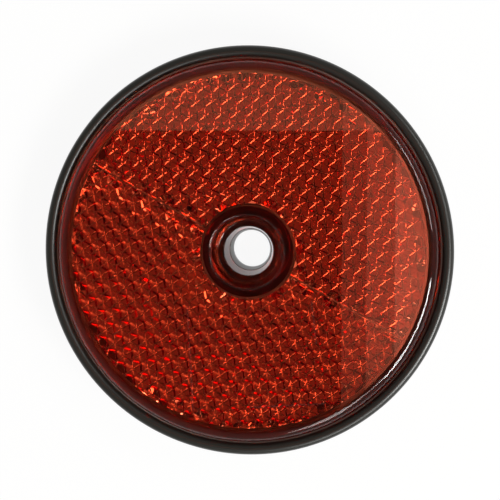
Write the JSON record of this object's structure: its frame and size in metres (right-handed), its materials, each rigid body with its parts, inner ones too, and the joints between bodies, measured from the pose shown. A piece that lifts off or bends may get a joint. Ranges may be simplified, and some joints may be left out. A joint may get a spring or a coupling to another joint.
{
  "type": "screw-on reflector",
  "caption": "Round screw-on reflector: a flat red corner-cube lens with a central screw recess, set in a black moulded housing with a rounded rim.",
  "frame": {"origin": "centre of the rear mounting face, on the axis of the screw hole", "axes": "+Z along the screw axis, out of the front of the lens; X along a row of the prism lattice"},
  "size_m": [0.06, 0.06, 0.0084],
  "materials": {
    "housing": "moulded black plastic, satin",
    "lens": "clear red acrylic, polished face, corner-cube prisms on the back"
  },
  "bodies": {
    "root": {"housing": "housing", "lens": "lens"}
  },
  "joints": []
}
